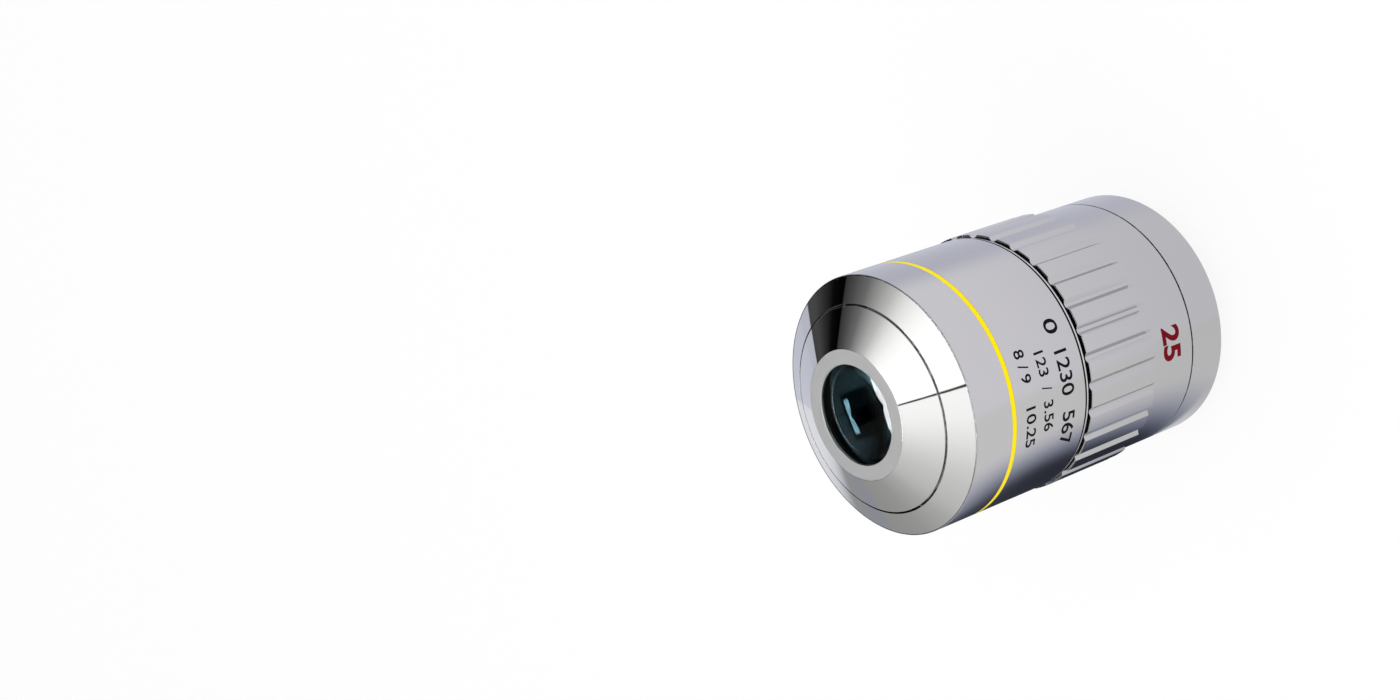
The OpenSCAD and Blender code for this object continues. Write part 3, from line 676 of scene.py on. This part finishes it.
class OBJECTIVE_OT_mount(bpy.types.Operator):
    """Turns the mount and cuts its thread"""
    bl_idname = "objective.mount"
    bl_label = "Turn and thread the mount"

    def execute(self, context):
        sizes = settings(ThreadSizes)
        crest, pitch, shoulder = sizes.radius / MM, sizes.pitch / MM, sizes.length / MM
        root = crest - sizes.depth / MM

        # The mount: a core inside the thread, a recess in the shoulder, and the sleeve that carries the rest
        light_bore, boss, carrier, sleeve_wall, edge = 10.5, 16.5, reach("mount_body"), 2, 0.04
        core, chamfer = root - 0.12, 0.13
        recess_r, recess_z = crest + 0.2, shoulder + 0.1
        flange, floor, top = low("rear_cover") + 1.55, low("parfocal_shim"), high("mount_body")
        body = turned("mount_turned", [
            (light_bore, 0), (core - chamfer, 0), (core, chamfer), (core, recess_z), (recess_r, recess_z),
            (recess_r, shoulder), (boss, shoulder), (boss, flange), (carrier, flange), (carrier, top),
            (carrier - sleeve_wall, top), (carrier - sleeve_wall, floor), (light_bore, floor)], edge * MM)
        fit(body, finish("mount_chrome"), "mount_chrome", "mount_body")

        # One tooth of the thread, wound up the core and cut off at both ends
        flat = pitch / 8
        flank = (pitch - 3 * flat) / 2
        tooth = ((root, 0), (root, flat), (crest, flat + flank), (crest, 2 * flat + flank),
                 (root, 2 * flat + 2 * flank), (root, pitch))
        start, turns, turn_steps = -pitch * 1.5, 9, 160
        thread = outline_from("mount_thread", [(r, 0, start + rise) for r, rise in tooth])
        bpy.ops.object.mode_set(mode="OBJECT")
        modifier(thread, "SCREW", angle=2 * math.pi, screw_offset=pitch * MM, steps=turn_steps,
                 render_steps=turn_steps, iterations=turns, use_merge_vertices=False)
        take(thread)
        bpy.ops.object.mode_set(mode="EDIT")
        bpy.ops.mesh.select_all(action="SELECT")
        bpy.ops.mesh.remove_doubles(threshold=SAME_POINT)
        thread_foot, thread_top = 0.3, shoulder - 0.8
        for height, keep_above in ((thread_foot, True), (thread_top, False)):
            bpy.ops.mesh.select_all(action="SELECT")
            bpy.ops.mesh.bisect(plane_co=(0, 0, height * MM), plane_no=(0, 0, 1), clear_inner=keep_above,
                                clear_outer=not keep_above)
        bpy.ops.object.mode_set(mode="OBJECT")

        # A lead-in cone of 45 degrees at the foot, then a wall under the thread's skin
        lead, wall = crest - 0.5, 0.25
        for vertex in thread.data.vertices:
            out = math.hypot(vertex.co.x, vertex.co.y)
            limit = (lead + vertex.co.z / MM) * MM
            if out > limit:
                vertex.co.x *= limit / out
                vertex.co.y *= limit / out
        modifier(thread, "SOLIDIFY", thickness=wall * MM, offset=-1.0, use_rim=True)
        seal(thread)
        take(thread)
        bpy.ops.object.shade_smooth_by_angle(angle=math.radians(25))
        fit(thread, finish("mount_chrome"), "mount_chrome")
        return {"FINISHED"}


# Rows of figures on the barrel: name, (figures, start and end in degrees), foot and top in millimetres
FIGURE_ROWS = (
    ("figures_first_row", (("0", 66.2, 72.7), ("1230", 80, 99.5), ("567", 106.5, 123)), 51.9, 48.6),
    ("figures_second_row", (("123", 77.5, 88), ("/", 92.3, 94.2), ("3.56", 98.5, 112)), 56.9, 54.4),
    ("figures_third_row", (("8", 74, 77.7), ("/", 80.3, 82.5), ("9", 84.5, 88.2), ("10.25", 98.5, 116.5)),
     61.6, 59.1),
)
BAND_MARK = (("25", 87.3, 103), 22.7, 17.7)
FIGURE_WEIGHT, MARK_WEIGHT = 0.01, 0.03
FIGURE_HEIGHT, SLICE_WIDTH = 0.04, 0.35
FIGURE_CURVE_STEPS, CIRCLE_STEPS = 10, 64


class OBJECTIVE_OT_figures(bpy.types.Operator):
    """Sets plain figures round the barrel and one on the band"""
    bl_idname = "objective.figures"
    bl_label = "Set the figures"

    def flat_figures(self, name, words, weight):
        """Figures as a thin flat mesh."""
        deselect()
        bpy.ops.object.text_add(location=(0, 0, 0))
        made = bpy.context.object
        made.name = name
        made.data.body = words
        made.data.extrude = 0.01
        made.data.offset = weight
        made.data.resolution_u = FIGURE_CURVE_STEPS
        bpy.ops.object.convert(target="MESH")
        return bpy.context.object

    def wrapped(self, name, words, radius, start, end, foot, top, weight):
        """Figures laid round a cylinder from angle start to end, standing between two heights."""
        made = self.flat_figures(name, words, weight)
        xs, ys, zs = zip(*(vertex.co for vertex in made.data.vertices))
        width = math.radians(end - start) * radius
        scale = (width / (max(xs) - min(xs)), abs(top - foot) / (max(ys) - min(ys)),
                 FIGURE_HEIGHT / (max(zs) - min(zs)))
        bpy.ops.object.mode_set(mode="EDIT")
        bpy.ops.mesh.select_all(action="SELECT")
        bpy.ops.transform.translate(value=(-min(xs), -min(ys), -(min(zs) + max(zs)) / 2))
        bpy.ops.transform.resize(value=[s * MM for s in scale], center_override=(0, 0, 0))
        bpy.ops.mesh.remove_doubles(threshold=SAME_CORNER)
        slices = math.ceil(width / SLICE_WIDTH)
        for cut in range(1, slices):
            bpy.ops.mesh.select_all(action="SELECT")
            bpy.ops.mesh.bisect(plane_co=(width * MM * cut / slices, 0, 0), plane_no=(1, 0, 0))
        bpy.ops.object.mode_set(mode="OBJECT")
        made.rotation_euler = (-math.pi / 2, 0, 0)
        made.location = ((math.radians(start) + math.pi) * radius * MM, 0, foot * MM)
        bpy.ops.object.transform_apply(location=True, rotation=True, scale=True)
        bpy.ops.curve.primitive_bezier_circle_add(radius=radius * MM, location=(0, 0, 0))
        circle = bpy.context.object
        circle.data.resolution_u = CIRCLE_STEPS
        circle.rotation_euler.z = -math.pi / 2
        bpy.ops.object.transform_apply(location=False, rotation=True, scale=False)
        modifier(made, "CURVE", object=circle, deform_axis="POS_X")
        take(circle)
        bpy.ops.object.delete()
        return seal(made, SAME_POINT / 2)

    def execute(self, context):
        barrel, band = reach("front_barrel"), reach("rear_cover")
        for name, groups, foot, top in FIGURE_ROWS:
            made = [self.wrapped(f"{name}_{count}", words, barrel, start, end, foot, top, FIGURE_WEIGHT)
                    for count, (words, start, end) in enumerate(groups)]
            take(made[0])
            for other in made[1:]:
                other.select_set(True)
            bpy.ops.object.join()
            made[0].name = made[0].data.name = name
            fit(made[0], finish("black_ink"), "black_anodised")
        (words, start, end), foot, top = BAND_MARK
        mark = self.wrapped("mark_on_band", words, band, start, end, foot, top, MARK_WEIGHT)
        fit(mark, finish("red_ink"), "yellow_enamel")
        return {"FINISHED"}


# The camera's place in metres and its axes, fitted to the rings of the object
CAMERA_PLACE = (0.08031, -0.31384, 0.32847)
CAMERA_RIGHT, CAMERA_UP = (-0.2142, -0.5803, -0.7857), (0.9648, 0.0, -0.263)

# Name, place and size in metres, and power in watts of each lamp, and the point they shine at
LAMPS = (("key_light", (0.35, -0.45, 0.6), 0.5, 1.2), ("fill_light", (-0.5, -0.2, 0.5), 0.6, 0.8))
LAMP_TARGET = (0, 0, 0.04)
ROOM_LIGHT = 0.88
WHITE_SHARE = 0.88
SENSOR_WIDTH, CLIP_START = 36.0, 0.01
FLOOR_SIZE, FLOOR_ROUGHNESS = 6.0, 0.8
DOME_RADIUS, DOME_SEGMENTS, DOME_RINGS = 2.9, 64, 32

# Fields of the painted reflection of the table, which the floor glows with for reflected rays, by lines (a, b,
# c) where a * x + b * y + c is above zero, in metres
LEFT_FIELD = (-1.0, 0.426, 0.0113)
BACK_FIELD = ((1.0, 0.0, 0.0), (0.0, 1.0, -0.1))
FAR_FIELD = ((-1.0, -0.375, 0.058), (0.0, 1.0, -0.15))
BACK_LINE, BACK_EASE, BACK_LEVEL = (-0.463, 1.0, 0.0217), (-0.28, 0.22), 0.74
FAR_EASE = (0.27, 0.62, 0.9, 0.376)

# Level of the painted reflection near the object and what is added to it further out, and the distances
# between
RIGHT_LEVEL, LEFT_LEVEL, OUTWARD_EASE = (0.85, 0.17), (0.82, 0.12), (0.03, 0.11)

# A painted shadow of the object as an oval in the floor's glow: its middle, its two scaled axes and the easing
# to its edge
SHADOW_MIDDLE, SHADOW_AXES = (-0.0457, 0.0447), ((0.321, 0.533), (-0.857, 0.516))
SHADOW_EASE = (0.033, 0.0686, 0.045, 1.0)

# The painted light rim round the foot and the painted shade under the foot's opening, by distance from the
# axis
PAINTED_RIM_EASE, UNDER_FOOT_SHADE_EASE = (0.0302, 0.0314, 0.9, 0.0), (0.0128, 0.0135)

RIGHT_TINT, LEFT_TINT = (0.99, 0.985, 1.02), (1.0, 1.0, 0.985)
BACK_TINT, FAR_TINT, SHADOW_TINT = (0.94, 0.965, 1.095), (0.974, 0.985, 1.04), (0.8, 0.9, 1.3)

# Levels of the dome's painted reflection by the height of the direction, on the side behind the object and on
# the side beside it
DOME_BEHIND = (
    (0.0, 0.7), (0.091, 0.7), (0.094, 0.1), (0.17, 0.085), (0.26, 0.039), (0.35, 0.0047), (0.448, 0.0),
    (0.452, 0.047), (0.53, 0.107), (0.616, 0.208), (0.695, 0.457), (0.77, 0.739), (0.837, 1.17),
    (0.893, 1.45), (0.94, 1.6), (1.0, 1.66))
DOME_BESIDE = (
    (0.0, 0.376), (0.163, 0.403), (0.34, 0.45), (0.52, 0.578), (0.606, 0.7), (0.764, 0.847), (0.831, 0.954),
    (0.889, 1.1), (0.935, 1.25), (0.97, 1.38), (1.0, 1.45))
DOME_TINT = (1.0, 1.0, 0.99)

# Where the levels behind hold: high up, over the room on the right, and low down
HIGH_EASE, ROOM_EASES, LOW_HEIGHT = (0.75, 0.9), ((0.0, 0.18), (-0.2, -0.02)), 0.0925

# The joint between the two sides: its direction, place and waviness, and the painted dark line along it
JOINT_WAY, JOINT_PLACE = (-0.966, -0.259), 0.067
JOINT_WAVES, JOINT_WAVE_HEIGHT, JOINT_EASE = 60.0, 0.014, (0.008, 0.011, 1.0, 0.0)
JOINT_HEIGHT, JOINT_LEVEL = 0.9, 0.03

# The painted dark flag and the small painted bright window above the front lens, by side, height and depth
BACK_WAY, SIDE_WAY = (-0.248, 0.969), (0.969, 0.248)
FLAG_SIDE, FLAG_HEIGHT, FLAG_BACK, FLAG_SHARE = (0.29, 0.36, 1.0, 0.0), (0.18, 0.26), (0.3, 0.4), 0.9
WINDOW_SIDE, WINDOW_HEIGHT, WINDOW_BACK = (0.2, 0.26, 1.0, 0.0), (0.885, 0.89), (0.4, 0.42)
WINDOW_BOW, WINDOW_LIGHT = 0.25, 17.0


class OBJECTIVE_OT_studio(bpy.types.Operator):
    """Lays the floor and sets the dome, the lights and the camera"""
    bl_idname = "objective.studio"
    bl_label = "Set the studio"

    def painted_table_reflection(self, tree):
        """Tint and level of the painted reflection of the table, as the metal and the glass mirror it, with a
        painted shadow, a painted light rim round the foot and painted shade under it.
        """
        x, y, _ = tree.split(tree.place())
        away = tree.distance(x, y)
        beyond = tree.ease(away, *OUTWARD_EASE)

        def over(line):
            """One on the side of the line where its value is above zero, and zero on the other."""
            return tree.above(tree.along(x, y, line[:2]), -line[2])

        def outwards(levels):
            return tree.plus(tree.times(beyond, levels[1]), levels[0])

        left = over(LEFT_FIELD)
        turn = tree.maths("DIVIDE", tree.plus(tree.along(x, y, BACK_LINE[:2]), BACK_LINE[2]), away)
        back = tree.times(tree.ease(turn, *BACK_EASE), tree.larger(*map(over, BACK_FIELD)))
        far = tree.times(*map(over, FAR_FIELD))
        level = tree.blend(left, outwards(RIGHT_LEVEL), outwards(LEFT_LEVEL))
        level = tree.blend(back, level, BACK_LEVEL)
        level = tree.blend(far, level, tree.ease(away, *FAR_EASE))

        # A painted shadow as an oval, lifted by the painted light rim round the foot, and painted shade under
        # the foot
        dx, dy = (tree.plus(value, -middle) for value, middle in zip((x, y), SHADOW_MIDDLE))
        oval = tree.distance(*(tree.along(dx, dy, axis) for axis in SHADOW_AXES))
        shadow = tree.larger(tree.ease(oval, *SHADOW_EASE), tree.ease(away, *PAINTED_RIM_EASE))
        level = tree.times(level, shadow, tree.ease(away, *UNDER_FOOT_SHADE_EASE))

        tint = tree.blend(left, RIGHT_TINT, LEFT_TINT)
        tint = tree.blend(back, tint, BACK_TINT)
        tint = tree.blend(far, tint, FAR_TINT)
        return tree.blend(shadow, SHADOW_TINT, tint), level

    def floor_material(self, studio):
        """White to the camera and lit as a pale floor, with the painted reflection of the table glowing for
        reflected rays and rays through glass.
        """
        material, tree, shader = new_material("pale_floor")
        shader.inputs["Base Color"].default_value = (*studio.floor_colour, 1)
        shader.inputs["Roughness"].default_value = FLOOR_ROUGHNESS
        tint, level = self.painted_table_reflection(tree)
        path = tree.node("ShaderNodeLightPath").outputs
        # The floor glows with the painted reflection only for reflected rays and rays through glass
        glow = tree.node("ShaderNodeEmission", Color=tint, Strength=level)
        white = tree.node("ShaderNodeEmission", Color=(1.0, 1.0, 1.0))
        seen = shader
        for factor, other in ((tree.larger(path["Is Glossy Ray"], path["Is Transmission Ray"]), glow),
                              (tree.times(path["Is Camera Ray"], WHITE_SHARE), white)):
            mixed = tree.node("ShaderNodeMixShader")
            for socket, value in zip(mixed.inputs, (factor, seen.outputs[0], other.outputs[0])):
                tree.feed(value, socket)
            seen = mixed
        tree.feed(seen.outputs[0], material.node_tree.nodes["Material Output"].inputs["Surface"])
        return material

    def dome_material(self):
        """A glow seen only in reflections and through glass, as painted reflections of a softbox overhead that
        fade to black behind the object and to grey on its left.
        """
        material, tree, _ = new_material("painted_reflection_dome")
        unit = tree.node("ShaderNodeVectorMath")
        unit.operation = "NORMALIZE"
        tree.feed(tree.place(), unit.inputs[0])
        x, y, z = tree.split(unit.outputs[0])

        room = tree.times(*(tree.ease(value, *ends) for value, ends in zip((x, y), ROOM_EASES)))
        low_down = tree.maths("LESS_THAN", z, LOW_HEIGHT)
        holds = tree.larger(tree.larger(tree.ease(z, *HIGH_EASE), room), low_down)
        behind = tree.times(tree.read_off(z, DOME_BEHIND), holds)
        across = tree.along(x, y, JOINT_WAY)
        level = tree.blend(tree.above(across, JOINT_PLACE), behind, tree.read_off(z, DOME_BESIDE))

        # A painted dark line along the wavy joint, seen only in reflections
        ragged = tree.node("ShaderNodeTexNoise", Vector=unit.outputs[0], Scale=JOINT_WAVES).outputs["Fac"]
        shift = tree.plus(across, tree.times(tree.plus(ragged, -0.5), JOINT_WAVE_HEIGHT))
        joint = tree.maths("ABSOLUTE", tree.plus(shift, -JOINT_PLACE))
        dark = tree.times(tree.ease(joint, *JOINT_EASE), tree.above(z, JOINT_HEIGHT))
        level = tree.blend(dark, level, JOINT_LEVEL)

        # A painted dark flag that darkens the reflections in the lens and the nose face, and a painted bright
        # window for the highlight on the front lens
        back = tree.along(x, y, BACK_WAY)
        side = tree.maths("ABSOLUTE", tree.along(x, y, SIDE_WAY))
        painted_flag = tree.times(tree.ease(side, *FLAG_SIDE), tree.ease(z, *FLAG_HEIGHT),
                          tree.ease(back, *FLAG_BACK))
        level = tree.times(level, tree.plus(tree.times(painted_flag, -FLAG_SHARE), 1.0))
        lifted = tree.plus(z, tree.times(side, WINDOW_BOW))
        painted_window = tree.times(tree.ease(lifted, *WINDOW_HEIGHT), tree.ease(back, *WINDOW_BACK),
                            tree.ease(side, *WINDOW_SIDE))
        level = tree.plus(level, tree.times(painted_window, WINDOW_LIGHT))
        tint = tree.blend(low_down, DOME_TINT, BACK_TINT)
        glow = tree.node("ShaderNodeEmission", Color=tint, Strength=level)
        tree.feed(glow.outputs[0], material.node_tree.nodes["Material Output"].inputs["Surface"])
        return material

    def execute(self, context):
        studio = settings(StudioSettings)
        deselect()
        bpy.ops.mesh.primitive_plane_add(size=FLOOR_SIZE, location=(0, 0, 0))
        floor = bpy.context.object
        floor.name = "floor"
        floor.data.materials.append(self.floor_material(studio))

        deselect()
        bpy.ops.mesh.primitive_uv_sphere_add(segments=DOME_SEGMENTS, ring_count=DOME_RINGS,
                                             radius=DOME_RADIUS, location=(0, 0, 0))
        dome = bpy.context.object
        dome.name = "painted_reflection_dome"
        dome.data.materials.append(self.dome_material())
        # The dome is hidden from the camera, from diffuse light and from shadows, so its glow is a painted
        # reflection
        dome.visible_camera = dome.visible_diffuse = dome.visible_shadow = False

        world = bpy.data.worlds.new("pale_room")
        bpy.context.scene.world = world
        world.use_nodes = True
        world.node_tree.nodes["Background"].inputs["Color"].default_value = (1, 1, 1, 1)
        world.node_tree.nodes["Background"].inputs["Strength"].default_value = ROOM_LIGHT

        for name, place, size, power in LAMPS:
            lamp = bpy.data.lights.new(name, "AREA")
            lamp.energy, lamp.size = power, size
            made = bpy.data.objects.new(name, lamp)
            bpy.context.scene.collection.objects.link(made)
            made.location = place
            made.visible_glossy = False
            aim = (Vector(LAMP_TARGET) - Vector(place)).to_track_quat("-Z", "Y")
            made.rotation_euler = aim.to_euler()

        view = bpy.data.cameras.new("portrait")
        view.lens, view.sensor_width, view.clip_start = studio.lens, SENSOR_WIDTH, CLIP_START
        camera = bpy.data.objects.new("portrait", view)
        bpy.context.scene.collection.objects.link(camera)
        right, up = Vector(CAMERA_RIGHT), Vector(CAMERA_UP)
        back = right.cross(up)
        up = back.cross(right)
        turn = Matrix((right.normalized(), up.normalized(), back.normalized())).transposed()
        camera.matrix_world = Matrix.Translation(CAMERA_PLACE) @ turn.to_4x4()
        bpy.context.scene.camera = camera
        bpy.context.scene.view_settings.view_transform = "Standard"
        return {"FINISHED"}


class OBJECTIVE_OT_finishes(bpy.types.Operator):
    """Gives every packed node the finish of its slot, and the front lens its own coat"""
    bl_idname = "objective.finishes"
    bl_label = "Finish the packed nodes"

    def execute(self, context):
        slots = {part["node"]: part["material_slot"] for part in frame["record"]["subparts"]}
        for name, node in frame["nodes"].items():
            slot = "front_glass" if name == "front_lens" else slots[name]
            material = finish("satin_chrome" if slot == "satin_sleeve" else slot)
            if not node.material_slots:
                node.data.materials.append(material)
            for place in node.material_slots:
                place.material = material
        return {"FINISHED"}


OPERATORS = (OBJECTIVE_OT_finishes, OBJECTIVE_OT_nose, OBJECTIVE_OT_barrel, OBJECTIVE_OT_rings,
             OBJECTIVE_OT_grip, OBJECTIVE_OT_mount, OBJECTIVE_OT_figures, OBJECTIVE_OT_studio)


class OBJECTIVE_PT_panel(bpy.types.Panel):
    bl_idname = "OBJECTIVE_PT_panel"
    bl_label = "Objective"
    bl_space_type = "VIEW_3D"
    bl_region_type = "UI"
    bl_category = "Objective"

    def draw(self, context):
        for group in GROUPS:
            box = self.layout.box()
            box.label(text=group.__doc__)
            for name in group.__annotations__:
                box.prop(settings(group), name)
        for operator in OPERATORS:
            self.layout.operator(operator.bl_idname)


def register():
    for made in (*GROUPS, *OPERATORS, OBJECTIVE_PT_panel):
        bpy.utils.register_class(made)
    for group in GROUPS:
        setattr(bpy.types.Scene, group.__name__.lower(), bpy.props.PointerProperty(type=group))


def unregister():
    for group in GROUPS:
        delattr(bpy.types.Scene, group.__name__.lower())
    for made in reversed((*GROUPS, *OPERATORS, OBJECTIVE_PT_panel)):
        bpy.utils.unregister_class(made)


def main():
    register()
    bpy.ops.objective.finishes()
    bpy.ops.objective.nose()
    bpy.ops.objective.barrel()
    bpy.ops.objective.rings()
    bpy.ops.objective.grip()
    bpy.ops.objective.mount()
    bpy.ops.objective.figures()
    bpy.ops.objective.studio()


if __name__ == "__main__":
    main()
